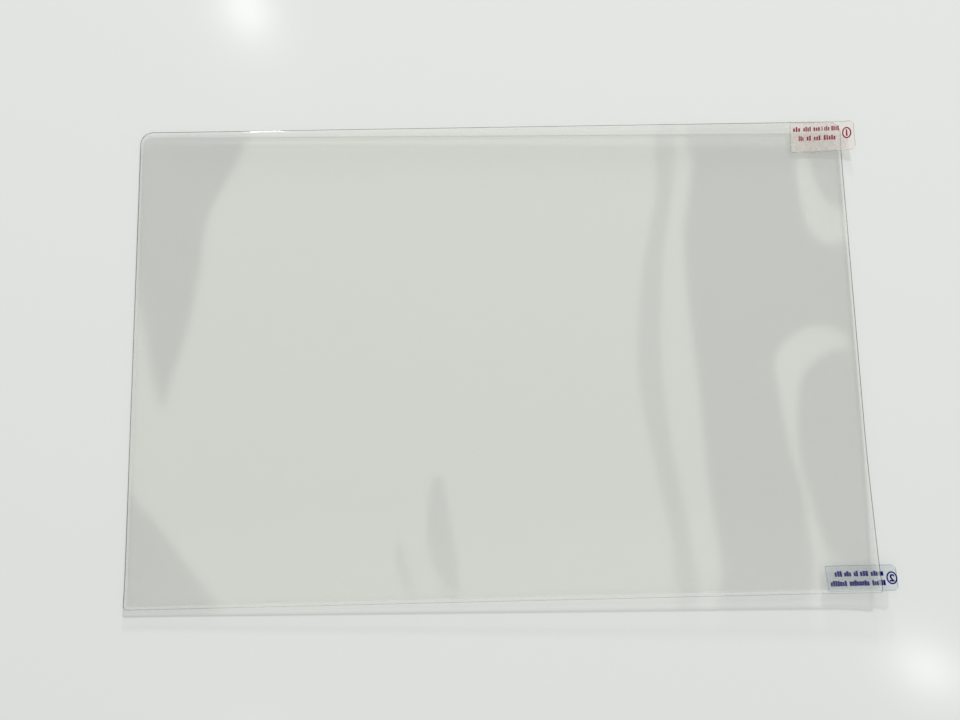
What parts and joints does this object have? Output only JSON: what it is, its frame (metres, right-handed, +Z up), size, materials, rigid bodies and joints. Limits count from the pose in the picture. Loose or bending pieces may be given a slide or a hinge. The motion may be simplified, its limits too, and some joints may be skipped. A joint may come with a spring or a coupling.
{
  "type": "screen protector",
  "caption": "Clear rectangular laptop screen protector film with curled edges, between two peel-off liners, with a pull tab on each at its right end.",
  "frame": {"origin": "middle of the sheet, on the flat underside of the lower liner, which is the plane of the table", "axes": "+X along the long side, towards the pull tabs; +Y along the short side, towards the two rounded corners; +Z up, out of the adhesive side"},
  "size_m": [0.3082, 0.1982, 0.0048],
  "materials": {
    "liner_film": "clear polyester film, glossy",
    "protective_film": "clear polyester film, glossy, faint green-grey cast",
    "release_film": "clear silicone-coated polyester film, glossy",
    "red_tab_label": "clear label film, red print",
    "blue_tab_label": "clear label film, blue print"
  },
  "bodies": {
    "root": {"lower_liner": "liner_film", "screen_film": "protective_film", "upper_liner": "release_film", "pull_tab_1": "red_tab_label", "pull_tab_2": "blue_tab_label"}
  },
  "joints": []
}
